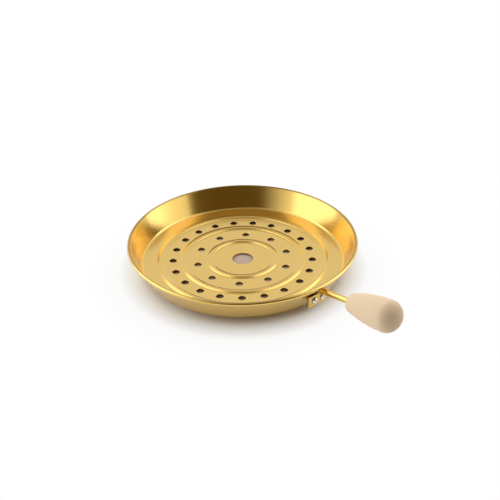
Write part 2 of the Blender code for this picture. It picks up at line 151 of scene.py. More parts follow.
class HandleSizes(bpy.types.PropertyGroup):
    """Sizes of the bracket, the rod and the grip."""

    plate_width: length("Plate width", "Upright plate of the bracket", PLATE_HIGH.y - PLATE_LOW.y)
    plate_thickness: length("Plate thickness", "Upright plate of the bracket", 1.6 * MM)
    plate_lip: length("Plate lip", "Thickness of the plate's upper edge", 0.4 * MM)
    plate_back_gap: length("Plate back gap", "Between the plate's upper edge and the wall", 0.5 * MM)
    plate_drop: length("Plate drop", "From the rod's line down to the plate's upper edge", 3.6 * MM)
    plate_edge: length("Plate edge", "Rounding of the bracket's edges", 0.25 * MM)
    wedge_width: length("Wedge width", "Wedge between the plate and the wall", 14.0 * MM)
    wedge_rise: length("Wedge rise", "From the plate's lower edge up to the wedge", 1.3 * MM)
    neck_width: length("Neck width", "Narrow neck that the rod butts against", 5.0 * MM)
    neck_tip: length("Neck tip", "Thickness of the neck's upper end", 0.4 * MM)
    neck_back_gap: length("Neck back gap", "Between the neck's foot and the wall", 0.9 * MM)
    neck_half_height: length("Neck half height", "Neck above and below the rod's line", 2.0 * MM)
    seat_gap: length("Seat gap", "Between pieces that are seated on each other", 0.3 * MM)
    rivet_spacing: length("Rivet spacing", "Between the two rivets", 8.8 * MM)
    rivet_rise: length("Rivet rise", "Rivets above the plate's lower edge", 5.0 * MM)
    rivet_radius: length("Rivet radius", "Shank of a rivet", 1.5 * MM)
    head_radius: length("Head radius", "Domed head of a rivet", 2.65 * MM)
    head_height: length("Head height", "Domed head of a rivet", 1.5 * MM)
    head_recess: length("Head recess", "Depth of the recess in a rivet's head", 0.75 * MM)
    tail_radius: length("Tail radius", "Set end of a rivet inside the pan", 2.5 * MM)
    tail_height: length("Tail height", "Set end of a rivet inside the pan", 1.1 * MM)
    washer_radius: length("Washer radius", "Washer under a rivet's tail", 3.4 * MM)
    washer_thickness: length("Washer thickness", "Washer under a rivet's tail", 0.6 * MM)
    washer_edge: length("Washer edge", "Rounding of a washer's edges", 0.12 * MM)
    rod_radius: length("Rod radius", "Rod of the handle", (ROD_HIGH.y - ROD_LOW.y) / 2)
    rod_rim_gap: length("Rod to rim", "Between the rod and the roll above it", 1.2 * MM)
    rod_tilt: angle("Rod tilt", "How far the rod tilts up as it leaves the pan", 11.0)
    rod_showing: length("Rod showing", "From the bracket to the grip", 31.6 * MM)
    rod_in_grip: length("Rod in grip", "Length of rod inside the grip", 17.0 * MM)
    rod_edge: length("Rod edge", "Rounding of the rod's ends", 0.3 * MM)
    insert_radius: length("Bush radius", "Bush in the grip", 3.9 * MM)
    insert_length: length("Bush length", "Bush in the grip", 15.0 * MM)
    grip_length: length("Grip length", "Turned grip", 44.6 * MM)
    grip_face_radius: length("Grip face radius", "Flat face that the rod enters", 7.2 * MM)
    grip_radius: length("Grip radius", "Widest part of the grip", 12.45 * MM)
    grip_edge: length("Grip edge", "Rounding of the face that the rod enters", 0.6 * MM)
    grip_widest: number("Grip widest", "Share of its length where the grip is widest", 0.75)
    grip_swell: number("Grip swell", "Fullness of the grip's neck", 0.86)
    grip_end_power: number("Grip end", "Squareness of the grip's rounded end", 2.2)
    rod_gold: colour("Rod gold", "Polished rod", (0.76, 0.52, 0.15))
    silver: colour("Silver", "Rivets and washers", (0.80, 0.79, 0.77))
    brass: colour("Brass", "Bush in the grip", (0.70, 0.52, 0.24))
    wood: colour("Wood", "Pale turned wood", (0.90, 0.71, 0.49))
    grain: colour("Grain", "Darker grain of the wood", (0.83, 0.63, 0.43))
    # Painted shade: the grip's rounded end is painted darker, standing for the shade that end is in, from
    # this share of its length on
    end_shade: colour("End grain", "Darker wood at the grip's rounded end", (0.66, 0.48, 0.33))
    end_shade_start: number("End grain start", "Share of the grip's length where that starts", 0.78)


class StageSizes(bpy.types.PropertyGroup):
    """The camera, the floor, the room and the lamps."""

    camera_distance: length("Camera distance", "From the middle of the floor", 606.6 * MM)
    camera_height: angle("Camera height", "Angle of the camera above the table", 32.51)
    camera_side: angle("Camera side", "Turn of the camera from the handle's direction", -39.0)
    camera_roll: angle("Camera roll", "Turn of the picture", -1.25)
    lens: number("Lens", "Focal length in millimetres", 49.1)
    sensor: number("Sensor", "Width of the sensor in millimetres", 36.0)
    shift_x: number("Shift across", "Framing of the picture", 0.0146)
    shift_y: number("Shift up", "Framing of the picture", 0.0144)
    floor_size: length("Floor size", "Half the floor's side", 4.0)
    floor_white: colour("Floor", "Pale floor", (0.93, 0.93, 0.93))
    floor_lift: number("Floor lift", "How far the floor is turned to plain white near the pan", 0.9)
    lift_start: length("Lift start", "Distance from the pan's axis where the white begins", 88 * MM)
    lift_near: length("Lift near", "Distance where the floor has its lift", 110 * MM)
    lift_full: length("Lift full", "Distance where the floor is plain white", 140 * MM)
    room_white: number("Room white", "How white the room is away from its dark side", 0.92)
    dark_side: colour("Dark side", "The room on the camera's side", (0.115, 0.078, 0.026))
    dark_turn: angle("Dark turn", "Turn of the dark side from the camera", 25.0)
    dark_start: number("Dark start", "Cosine of the angle to the dark side where it begins", 0.26)
    dark_full: number("Dark full", "Cosine of that angle where it is darkest", 0.62)
    overhead: number("Overhead", "Share of the white that is left straight above", 0.3)
    overhead_start: number("Overhead start", "Rise of a direction where the white begins to dim", 0.6)
    overhead_full: number("Overhead full", "Rise of a direction where it is dimmest", 0.92)
    side_reach: length("Side lamp reach", "Side lamps, out from the pan", 0.8)
    side_height: length("Side lamp height", "Side lamps above the floor", 0.4)
    side_width: length("Side lamp width", "Side lamps", 0.9)
    side_depth: length("Side lamp depth", "Side lamps", 0.8)
    side_power: power("Side lamp power", "Each side lamp", 2.6)
    back_reach: length("Back lamp reach", "Back lamps, out to the side", 0.43)
    back_distance: length("Back lamp distance", "Back lamps, behind the pan", 0.4)
    back_height: length("Back lamp height", "Back lamps above the floor", 0.82)
    back_width: length("Back lamp width", "Back lamps, each way", 0.5)
    back_power: power("Back lamp power", "Each back lamp", 0.95)


def section_line(made, points):
    """An open line of edges through (radius, height) points in the section plane."""
    verts = [made.verts.new((radius, 0.0, height)) for radius, height in points]
    for pair in zip(verts, verts[1:]):
        made.edges.new(pair)
    return verts


def tube_section(made, inner, outer, low, high):
    """The closed section of a tube or a washer."""
    verts = section_line(made, [(inner, low), (outer, low), (outer, high), (inner, high)])
    made.edges.new((verts[-1], verts[0]))


def round_corner(made, vert, offset, segments):
    """Rounds a corner of a section line."""
    bmesh.ops.bevel(
        made, geom=[vert], offset=offset, offset_type="OFFSET", affect="VERTICES",
        segments=segments, profile=0.5, material=-1, clamp_overlap=True,
    )


def turn(made, steps):
    """Turns a section line about Z into a closed surface of revolution."""
    bmesh.ops.spin(
        made, geom=list(made.verts) + list(made.edges), cent=(0, 0, 0), axis=(0, 0, 1),
        angle=math.tau, steps=steps, use_merge=True, use_duplicate=False,
    )
    bmesh.ops.remove_doubles(made, verts=made.verts, dist=1e-7)
    bmesh.ops.recalc_face_normals(made, faces=made.faces)


def smooth(mesh, sharp_degrees=35.0):
    """Shades a mesh smooth except at its sharp edges."""
    mesh.shade_smooth()
    mesh.set_sharp_from_angle(angle=math.radians(sharp_degrees))


def finish_mesh(name, made, place, material):
    """A smooth piece from a bmesh, with its place in its mesh."""
    bmesh.ops.transform(made, matrix=place, verts=made.verts)
    mesh = bpy.data.meshes.new(name)
    made.to_mesh(mesh)
    made.free()
    smooth(mesh)
    if material:
        mesh.materials.append(material)
    piece = bpy.data.objects.new(name, mesh)
    bpy.context.scene.collection.objects.link(piece)
    return piece


def seat(piece, slot, *nodes):
    """Rides the piece on the body, for the CAD nodes that it stands for."""
    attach(piece, BODY)
    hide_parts(*nodes)


def combine(piece, made, operation):
    """Joins a bmesh to a piece or cuts it away, and applies the result."""
    other = finish_mesh(piece.name + "_tool", made, Matrix.Identity(4), None)
    modifier = piece.modifiers.new("combine", "BOOLEAN")
    modifier.operation = operation
    modifier.solver = "EXACT"
    modifier.object = other
    evaluated = piece.evaluated_get(bpy.context.evaluated_depsgraph_get())
    mesh = bpy.data.meshes.new_from_object(evaluated)
    piece.modifiers.clear()
    old = piece.data
    piece.data = mesh
    bpy.data.meshes.remove(old)
    bpy.data.objects.remove(other, do_unlink=True)


class Layout:
    """Places that follow from the sizes, measured from the pan's axis."""

    def __init__(self, pan, handle):
        self.pan = pan
        self.handle = handle
        self.corner_radius = pan.rim_radius - pan.wall_flare
        self.corner_height = pan.floor_height + pan.dish_rise
        self.dish_curve = pan.dish_rise / (self.corner_radius**2 - pan.outer_circle**2)
        across = pan.wall_flare - pan.curl_radius
        up = pan.rim_height - self.corner_height
        self.lean = math.atan2(across, up) - math.asin(pan.curl_radius / math.hypot(across, up))
        self.rod_height = pan.rim_height - pan.curl_radius - handle.rod_rim_gap - handle.rod_radius
        self.plate_top = self.rod_height - handle.plate_drop
        self.plate_face = self.wall_outer(self.plate_top) + handle.plate_back_gap + handle.plate_lip
        self.plate_bottom = PLATE_LOW.z
        # The plate's upright back comes up to the leaning wall at this height
        back = self.plate_face - handle.plate_thickness - handle.plate_back_gap
        room = back - self.wall_outer(self.corner_height)
        self.plate_meets = self.corner_height + room / math.tan(self.lean)
        self.rivet_height = self.plate_bottom + handle.rivet_rise
        half = handle.neck_half_height
        self.neck_top = self.rod_height + half * math.cos(handle.rod_tilt)
        tip = handle.seat_gap + handle.neck_tip + half * math.sin(handle.rod_tilt)
        self.neck_face = self.wall_outer(self.neck_top) + tip
        start = Vector((
            self.neck_face + handle.seat_gap * math.cos(handle.rod_tilt),
            0.0,
            self.rod_height + handle.seat_gap * math.sin(handle.rod_tilt),
        ))
        lie = Matrix.Rotation(math.pi / 2 - handle.rod_tilt, 4, "Y")
        self.handle_line = PAN_PLACE @ Matrix.Translation(start) @ lie

    def floor_top(self, radius):
        """Height of the dished floor, with its raised rings."""
        pan = self.pan
        top = pan.floor_height + self.dish_curve * (radius**2 - pan.outer_circle**2)
        for ring in (pan.inner_ring, pan.middle_ring, pan.outer_ring):
            share = (radius - ring) / (pan.ring_width / 2)
            if abs(share) < 1.0:
                top += pan.ring_rise * (1.0 + math.cos(math.pi * share)) / 2
        return top

    def corner_back(self):
        """How far before the corner its rounding starts."""
        slope = math.atan(2 * self.dish_curve * self.corner_radius)
        return self.pan.corner_fillet * math.tan((math.pi / 2 - self.lean - slope) / 2)

    def wall_inner(self, z):
        return self.corner_radius + (z - self.corner_height) * math.tan(self.lean)

    def wall_outer(self, z):
        return self.wall_inner(z) + self.pan.sheet / math.cos(self.lean)

    def rivet_place(self, side):
        """Where a rivet's head meets the plate, with Z along the rivet and out of the pan."""
        across = side * self.handle.rivet_spacing / 2
        spot = Matrix.Translation((self.plate_face, across, self.rivet_height))
        return PAN_PLACE @ spot @ Matrix.Rotation(math.pi / 2, 4, "Y")

    def wall_place(self, side, distance):
        """On a rivet's line, this far inside the wall, with Z square to the wall and into the pan."""
        across = side * self.handle.rivet_spacing / 2
        around = math.asin(across / self.wall_inner(self.rivet_height))
        inwards = distance / (math.cos(self.lean) * math.cos(around))
        along = self.wall_inner(self.rivet_height) * math.cos(around) - inwards
        lie = Matrix.Rotation(around, 4, "Z") @ Matrix.Rotation(self.lean - math.pi / 2, 4, "Y")
        return PAN_PLACE @ Matrix.Translation((along, across, self.rivet_height)) @ lie


def sizes(context):
    """The sizes of the pan and the handle, and the places that follow from them."""
    pan, handle = context.scene.stove_pan, context.scene.stove_handle
    return pan, handle, Layout(pan, handle)


def new_material(name):
    """A material with its shader and output, and the nodes and links to add to."""
    material = bpy.data.materials.new(name)
    material.use_nodes = True
    nodes = material.node_tree.nodes
    return material, nodes, material.node_tree.links, nodes["Principled BSDF"]


def own_axes(nodes, links, place):
    """Object coordinates turned into the piece's own axes, with Z along its turning axis."""
    coordinates = nodes.new("ShaderNodeTexCoord")
    moved = nodes.new("ShaderNodeMapping")
    moved.vector_type = "TEXTURE"
    moved.inputs["Location"].default_value = place.translation
    moved.inputs["Rotation"].default_value = place.to_euler("XYZ")
    links.new(coordinates.outputs["Object"], moved.inputs["Vector"])
    return moved.outputs["Vector"]


def calculate(nodes, links, operation, *values):
    """The result of one step of arithmetic on other nodes' values."""
    node = nodes.new("ShaderNodeMath")
    node.operation = operation
    for value, socket in zip(values, node.inputs):
        links.new(value, socket)
    return node.outputs[0]


def from_axis(nodes, links, vector):
    """Distance from the Z axis, and height along it."""
    split = nodes.new("ShaderNodeSeparateXYZ")
    links.new(vector, split.inputs[0])
    flat = nodes.new("ShaderNodeCombineXYZ")
    links.new(split.outputs["X"], flat.inputs["X"])
    links.new(split.outputs["Y"], flat.inputs["Y"])
    radius = nodes.new("ShaderNodeVectorMath")
    radius.operation = "LENGTH"
    links.new(flat.outputs[0], radius.inputs[0])
    return radius.outputs["Value"], split.outputs["Z"]


def spread(nodes, links, value, to, over=(0.3, 0.7)):
    """Takes a value that runs over one range to another range, and holds it there."""
    node = nodes.new("ShaderNodeMapRange")
    node.inputs["From Min"].default_value, node.inputs["From Max"].default_value = over
    node.inputs["To Min"].default_value, node.inputs["To Max"].default_value = to
    links.new(value, node.inputs["Value"])
    return node.outputs["Result"]


def blend_colours(nodes, links, mask, first, second):
    """The first colour, which may come from another node, with the second where the mask is 1."""
    node = nodes.new("ShaderNodeMix")
    node.data_type = "RGBA"
    if isinstance(first, bpy.types.NodeSocket):
        links.new(first, node.inputs["A"])
    else:
        node.inputs["A"].default_value = (*first, 1.0)
    node.inputs["B"].default_value = (*second, 1.0)
    links.new(mask, node.inputs["Factor"])
    return node.outputs["Result"]


def bump(nodes, links, height, depth, strength, normal=None):
    """A normal that follows a height, on top of another normal where one is given."""
    node = nodes.new("ShaderNodeBump")
    node.inputs["Strength"].default_value = strength
    node.inputs["Distance"].default_value = depth
    links.new(height, node.inputs["Height"])
    if normal:
        links.new(normal, node.inputs["Normal"])
    return node.outputs["Normal"]


def seen_directly(nodes, links):
    """1 for what the camera sees, straight or in metal and glass, and 0 for light that is scattered."""
    light = nodes.new("ShaderNodeLightPath")
    straight_or_metal = calculate(
        nodes, links, "MAXIMUM", light.outputs["Is Camera Ray"], light.outputs["Is Glossy Ray"]
    )
    return calculate(nodes, links, "MAXIMUM", straight_or_metal, light.outputs["Is Transmission Ray"])


def group(name, inputs, output):
    """A shader node group with named inputs and one value as its output, and its end nodes."""
    tree = bpy.data.node_groups.new(name, "ShaderNodeTree")
    for label, kind, value in inputs:
        socket = tree.interface.new_socket(label, in_out="INPUT", socket_type=kind)
        if value is not None:
            socket.default_value = value
    tree.interface.new_socket(output, in_out="OUTPUT", socket_type=FLOAT)
    return tree, tree.nodes.new("NodeGroupInput"), tree.nodes.new("NodeGroupOutput")


def turning_lines_group():
    """Fine lines round an axis, as a spinning lathe or a turning tool leaves them."""
    name = "turning lines"
    if name in bpy.data.node_groups:
        return bpy.data.node_groups[name]
    inputs = [("Vector", VECTOR, None), ("Density", FLOAT, 2000.0), ("Unevenness", FLOAT, 0.3)]
    tree, given, result = group(name, inputs, "Lines")
    nodes, links = tree.nodes, tree.links
    along = calculate(nodes, links, "ADD", *from_axis(nodes, links, given.outputs["Vector"]))
    wander = nodes.new("ShaderNodeTexNoise")
    wander.inputs["Scale"].default_value = 40.0
    links.new(given.outputs["Vector"], wander.inputs["Vector"])
    waver = calculate(nodes, links, "MULTIPLY", wander.outputs["Fac"], given.outputs["Unevenness"])
    scaled = calculate(nodes, links, "MULTIPLY_ADD", along, given.outputs["Density"], waver)
    lines = nodes.new("ShaderNodeTexNoise")
    lines.noise_dimensions = "1D"
    lines.inputs["Scale"].default_value = 1.0
    lines.inputs["Detail"].default_value = 3.0
    links.new(scaled, lines.inputs["W"])
    links.new(lines.outputs["Fac"], result.inputs["Lines"])
    return tree


def handling_group():
    """Cloudy marks, as handling leaves them on a finished surface."""
    name = "handling marks"
    if name in bpy.data.node_groups:
        return bpy.data.node_groups[name]
    inputs = [("Vector", VECTOR, None), ("Cloud scale", FLOAT, 30.0)]
    tree, given, result = group(name, inputs, "Clouds")
    cloud = tree.nodes.new("ShaderNodeTexNoise")
    cloud.inputs["Detail"].default_value = 4.0
    cloud.inputs["Roughness"].default_value = 0.6
    tree.links.new(given.outputs["Vector"], cloud.inputs["Vector"])
    tree.links.new(given.outputs["Cloud scale"], cloud.inputs["Scale"])
    tree.links.new(cloud.outputs["Fac"], result.inputs["Clouds"])
    return tree


def place_group(nodes, links, tree, axes, **values):
    """Puts a group in a material on the piece's own axes, and gives the group's result."""
    node = nodes.new("ShaderNodeGroup")
    node.node_tree = tree
    links.new(axes, node.inputs["Vector"])
    for label, value in values.items():
        node.inputs[label.replace("_", " ")].default_value = value
    return node.outputs[0]


def turned_metal(name, base, place, roughness, density, tint=0.9, line_strength=0.08):
    """Metal with turning lines round the piece's axis and cloudy handling marks."""
    material, nodes, links, shader = new_material(name)
    axes = own_axes(nodes, links, place)
    lines = place_group(nodes, links, turning_lines_group(), axes, Density=density)
    clouds = place_group(nodes, links, handling_group(), axes)
    deeper = [channel * tint for channel in base]
    links.new(blend_colours(nodes, links, clouds, base, deeper), shader.inputs["Base Color"])
    links.new(spread(nodes, links, clouds, to=roughness), shader.inputs["Roughness"])
    shader.inputs["Metallic"].default_value = 1.0
    links.new(bump(nodes, links, lines, 0.02 * MM, line_strength), shader.inputs["Normal"])
    return material


def anodised_sheet(pan, layout):
    """Gold anodised sheet under a clear layer, with painted shade: a dark line in the crease inside the
    rolled rim.
    """
    material = turned_metal(
        "gold_sheet", pan.gold, PAN_PLACE,
        roughness=(0.17, 0.22), density=1500.0, tint=0.97, line_strength=0.02,
    )
    nodes, links = material.node_tree.nodes, material.node_tree.links
    shader = nodes["Principled BSDF"]
    shader.inputs["Coat Weight"].default_value = pan.coat
    shader.inputs["Coat Roughness"].default_value = pan.coat_roughness
    radius, height = from_axis(nodes, links, own_axes(nodes, links, PAN_PLACE))
    crest = pan.rim_radius - pan.curl_radius
    tangent = pan.rim_height + pan.curl_radius * math.sin(layout.lean)
    # Painted shade: a dark line mixed into the gold above the roll's tangent and inside its crest, where
    # the crease lies in shade
    above = (tangent - 0.1 * MM, tangent + 0.3 * MM)
    high = spread(nodes, links, height, to=(0.0, pan.crease_shade_share), over=above)
    inside = spread(nodes, links, radius, to=(1.0, 0.0), over=(crest + 0.1 * MM, crest + 0.5 * MM))
    mask = calculate(nodes, links, "MULTIPLY", high, inside)
    plain = shader.inputs["Base Color"].links[0].from_socket
    links.new(blend_colours(nodes, links, mask, plain, pan.crease_shade), shader.inputs["Base Color"])
    return material


def wood_material(handle, place):
    """Pale close-grained wood: long grain down the grip, painted shade darkening its rounded end, and faint
    turning lines.
    """
    material, nodes, links, shader = new_material("pale_wood")
    axes = own_axes(nodes, links, place)
    stretched = nodes.new("ShaderNodeMapping")
    stretched.inputs["Scale"].default_value = (1.0, 1.0, 0.08)
    links.new(axes, stretched.inputs["Vector"])
    grain = nodes.new("ShaderNodeTexNoise")
    grain.inputs["Scale"].default_value = 420.0
    grain.inputs["Detail"].default_value = 5.0
    grain.inputs["Roughness"].default_value = 0.6
    links.new(stretched.outputs["Vector"], grain.inputs["Vector"])
    rings = nodes.new("ShaderNodeTexWave")
    rings.bands_direction = "X"
    rings.inputs["Scale"].default_value = 60.0
    rings.inputs["Distortion"].default_value = 6.0
    rings.inputs["Detail"].default_value = 2.0
    links.new(stretched.outputs["Vector"], rings.inputs["Vector"])
    streaks = spread(nodes, links, grain.outputs["Fac"], to=(0.0, 1.0), over=(0.4, 0.75))
    bands = spread(nodes, links, rings.outputs["Fac"], to=(0.15, 0.5), over=(0.0, 1.0))
    mask = calculate(nodes, links, "MULTIPLY", streaks, bands)
    streaked = blend_colours(nodes, links, mask, handle.wood, handle.grain)
    along = nodes.new("ShaderNodeSeparateXYZ")
    links.new(axes, along.inputs[0])
    # Painted shade: the colour darkens towards the grip's rounded end
    shaded_end = (handle.end_shade_start * handle.grip_length, handle.grip_length)
    end = spread(nodes, links, along.outputs["Z"], to=(0.0, 1.0), over=shaded_end)
    links.new(blend_colours(nodes, links, end, streaked, handle.end_shade), shader.inputs["Base Color"])
    clouds = place_group(nodes, links, handling_group(), axes, Cloud_scale=60.0)
    links.new(spread(nodes, links, clouds, to=(0.5, 0.65)), shader.inputs["Roughness"])
    lines = place_group(nodes, links, turning_lines_group(), axes, Density=1500.0)
    fine = bump(nodes, links, grain.outputs["Fac"], 0.1 * MM, 0.12)
    links.new(bump(nodes, links, lines, 0.05 * MM, 0.05, fine), shader.inputs["Normal"])
    shader.inputs["Specular IOR Level"].default_value = 0.35
    return material


def woven_material(fibre):
    """Plain woven fibre: two crossed sets of threads."""
    material, nodes, links, shader = new_material("wick_fibre")
    axes = own_axes(nodes, links, PAN_PLACE)
    threads = []
    for direction in ("X", "Y"):
        wave = nodes.new("ShaderNodeTexWave")
        wave.bands_direction = direction
        wave.inputs["Scale"].default_value = 320.0
        wave.inputs["Distortion"].default_value = 0.4
        links.new(axes, wave.inputs["Vector"])
        threads.append(wave.outputs["Fac"])
    weave = calculate(nodes, links, "MAXIMUM", *threads)
    darker = [channel * 0.8 for channel in fibre]
    links.new(blend_colours(nodes, links, weave, darker, fibre), shader.inputs["Base Color"])
    links.new(bump(nodes, links, weave, 0.2 * MM, 0.4), shader.inputs["Normal"])
    shader.inputs["Roughness"].default_value = 0.9
    return material


class STOVE_OT_pan(bpy.types.Operator):
    """Turn the pan from its section, thicken it and punch its holes"""

    bl_idname = "stove.pan"
    bl_label = "Pan"

    steps = 192
    floor_steps = 110
    corner_steps = 12
    roll_steps = 28
    vent_steps = 40
    # The floor's points stop this many times the rounding's reach before the corner
    clear_of_corner = 1.1
    # An edge of a punched hole is this level, and this close to the hole's circle
    level_within = 0.1 * MM
    circle_within = 0.02 * MM

    def section(self, pan, layout):
        """The sheet's upper face: dished floor with raised rings, wall and rolled rim."""
        made = bmesh.new()
        back = layout.corner_back()
        reach = layout.corner_radius - self.clear_of_corner * back - pan.centre_hole
        radii = [pan.centre_hole + reach * k / self.floor_steps for k in range(self.floor_steps + 1)]
        points = [(radius, layout.floor_top(radius)) for radius in radii]
        points.append((layout.corner_radius, layout.corner_height))
        curl_centre = Vector((pan.rim_radius - pan.curl_radius, 0.0, pan.rim_height))
        out = Vector((-math.cos(layout.lean), 0.0, math.sin(layout.lean)))
        tangent = curl_centre + out * pan.curl_radius
        points.append((tangent.x, tangent.z))
        verts = section_line(made, points)
        last = verts[-1]
        round_corner(made, verts[-2], back, self.corner_steps)
        # The rim's roll is the line's last point turned about the roll's middle
        bmesh.ops.spin(
            made, geom=[last], cent=curl_centre, axis=(0, 1, 0), angle=pan.roll_turn, steps=self.roll_steps
        )
        return made

    def vent_centres(self, pan):
        circles = (
            (pan.outer_circle, pan.outer_count, pan.outer_start),
            (pan.inner_circle, pan.inner_count, pan.inner_start),
        )
        for radius, count, start in circles:
            for k in range(count):
                around = start + math.tau * k / count
                spot = Vector((radius * math.cos(around), radius * math.sin(around), pan.floor_height))
                yield PAN_AXIS + spot

    def vent_cutter(self, pan):
        made = bmesh.new()
        for centre in self.vent_centres(pan):
            bmesh.ops.create_cone(
                made, cap_ends=True, segments=self.vent_steps,
                radius1=pan.vent_radius, radius2=pan.vent_radius,
                depth=pan.floor_height * 4, matrix=Matrix.Translation(centre),
            )
        return made

    def vent_at(self, spot, centres, radius):
        """The number of the hole on whose circle a point lies, or None."""
        for number_of_hole, centre in enumerate(centres):
            if abs((spot - centre).xy.length - radius) < self.circle_within:
                return number_of_hole
        return None

    def soften_vents(self, piece, pan):
        """Chamfers the upper and lower edges of the punched holes."""
        made = bmesh.new()
        made.from_mesh(piece.data)
        centres, radius = list(self.vent_centres(pan)), pan.vent_radius
        vents = {vert: self.vent_at(vert.co, centres, radius) for vert in made.verts}
        edges = []
        for edge in made.edges:
            first, second = edge.verts
            level = abs(first.co.z - second.co.z) <= self.level_within
            if level and vents[first] is not None and vents[first] == vents[second]:
                edges.append(edge)
        bmesh.ops.bevel(
            made, geom=edges, offset=pan.edge_chamfer, affect="EDGES", segments=1, profile=0.5, material=-1
        )
        made.to_mesh(piece.data)
        made.free()
        smooth(piece.data, sharp_degrees=30.0)

    def execute(self, context):
        pan, _, layout = sizes(context)
        made = self.section(pan, layout)
        turn(made, self.steps)
        floor_face = min(made.faces, key=lambda face: face.calc_center_median().xy.length)
        if floor_face.normal.z < 0:
            bmesh.ops.reverse_faces(made, faces=made.faces)
        bmesh.ops.solidify(made, geom=list(made.faces), thickness=pan.sheet)
        bmesh.ops.recalc_face_normals(made, faces=made.faces)
        piece = finish_mesh("pan_shell", made, PAN_PLACE, anodised_sheet(pan, layout))
        combine(piece, self.vent_cutter(pan), "DIFFERENCE")
        self.soften_vents(piece, pan)
        seat(piece, "gold_sheet", "pan")
        return {"FINISHED"}


class STOVE_OT_tray(bpy.types.Operator):
    """Turn the fuel tray that the pan stands on, and the wick pad in it"""

    bl_idname = "stove.tray"
    bl_label = "Tray and pad"

    steps = 128

    def tray(self, pan):
        inner = pan.tray_radius - pan.sheet
        made = bmesh.new()
        verts = section_line(made, [
            (0.0, 0.0),
            (pan.tray_radius, 0.0),
            (pan.tray_radius, pan.tray_height),
            (inner, pan.tray_height),
            (inner, pan.sheet),
            (0.0, pan.sheet),
        ])
        round_corner(made, verts[1], pan.tray_corner, segments=5)
        round_corner(made, verts[4], pan.tray_fillet, segments=4)
        turn(made, self.steps)
        piece = finish_mesh("tray", made, PAN_PLACE, bpy.data.materials["gold_sheet"])
        seat(piece, "gold_sheet", "fuel_tray")

    def pad(self, pan):
        low, high = PAD_LOW.z, PAD_HIGH.z
        made = bmesh.new()
        verts = section_line(made, [(0.0, low), (pan.pad_radius, low), (pan.pad_radius, high), (0.0, high)])
        for vert in verts[1:3]:
            round_corner(made, vert, pan.pad_edge, segments=3)
        turn(made, self.steps)
        piece = finish_mesh("wick", made, PAN_PLACE, woven_material(pan.fibre))
        seat(piece, "wick_fibre", "wick_pad")

    def execute(self, context):
        self.tray(context.scene.stove_pan)
        self.pad(context.scene.stove_pan)
        return {"FINISHED"}


class STOVE_OT_bracket(bpy.types.Operator):
    """Draw the bracket's wedge, plate and neck from the side and round their edges"""

    bl_idname = "stove.bracket"
    bl_label = "Bracket"

    def drawn(self, section, width):
        """A bmesh of a side outline drawn out along Y, half the width to each side."""
        made = bmesh.new()
        face = made.faces.new([made.verts.new((x, -width / 2, z)) for x, z in section])
        grown = bmesh.ops.extrude_face_region(made, geom=[face])["geom"]
        verts = [item for item in grown if isinstance(item, bmesh.types.BMVert)]
        bmesh.ops.translate(made, verts=verts, vec=(0.0, width, 0.0))
        bmesh.ops.recalc_face_normals(made, faces=made.faces)
        return made

    def wedge_section(self, handle, layout):
        front = layout.plate_face - handle.plate_thickness / 2
        bottom = layout.plate_bottom + handle.wedge_rise
        top = layout.plate_meets - handle.plate_back_gap
        return [
            (layout.wall_outer(bottom) + handle.seat_gap, bottom),
            (front, bottom),
            (front, top),
            (layout.wall_outer(top) + handle.seat_gap, top),
        ]

    def neck_section(self, handle, layout):
        sine, cosine = math.sin(handle.rod_tilt), math.cos(handle.rod_tilt)
        half = handle.neck_half_height
        neck_top = (layout.neck_face - half * sine, layout.neck_top)
        neck_bottom = (layout.neck_face + half * sine, layout.rod_height - half * cosine)
        front = layout.plate_face - handle.plate_thickness / 4
        low = (layout.plate_bottom + handle.wedge_rise + layout.plate_meets) / 2
        return [
            (layout.wall_outer(low) + handle.neck_back_gap, low),
            (front, low),
            (front, neck_bottom[1] - (layout.neck_face - layout.plate_face)),
            neck_bottom,
            neck_top,
            (layout.wall_outer(layout.neck_top) + handle.seat_gap, layout.neck_top),
        ]

    def plate_section(self, handle, layout):
        back = layout.plate_face - handle.plate_thickness
        return [
            (back, layout.plate_bottom),
            (layout.plate_face, layout.plate_bottom),
            (layout.plate_face, layout.plate_top),
            (layout.plate_face - handle.plate_lip, layout.plate_top),
            (back, layout.plate_meets),
        ]

    def execute(self, context):
        _, handle, layout = sizes(context)
        wedge = self.drawn(self.wedge_section(handle, layout), handle.wedge_width)
        piece = finish_mesh("bracket", wedge, PAN_PLACE, bpy.data.materials["gold_sheet"])
        for section, width in (
            (self.plate_section(handle, layout), handle.plate_width),
            (self.neck_section(handle, layout), handle.neck_width),
        ):
            more = self.drawn(section, width)
            bmesh.ops.transform(more, matrix=PAN_PLACE, verts=more.verts)
            combine(piece, more, "UNION")
        soft = piece.modifiers.new("soft edges", "BEVEL")
        soft.width = handle.plate_edge
        soft.segments = 2
        soft.limit_method = "ANGLE"
        soft.angle_limit = math.radians(35.0)
        seat(piece, "gold_sheet", "handle_bracket")
        return {"FINISHED"}


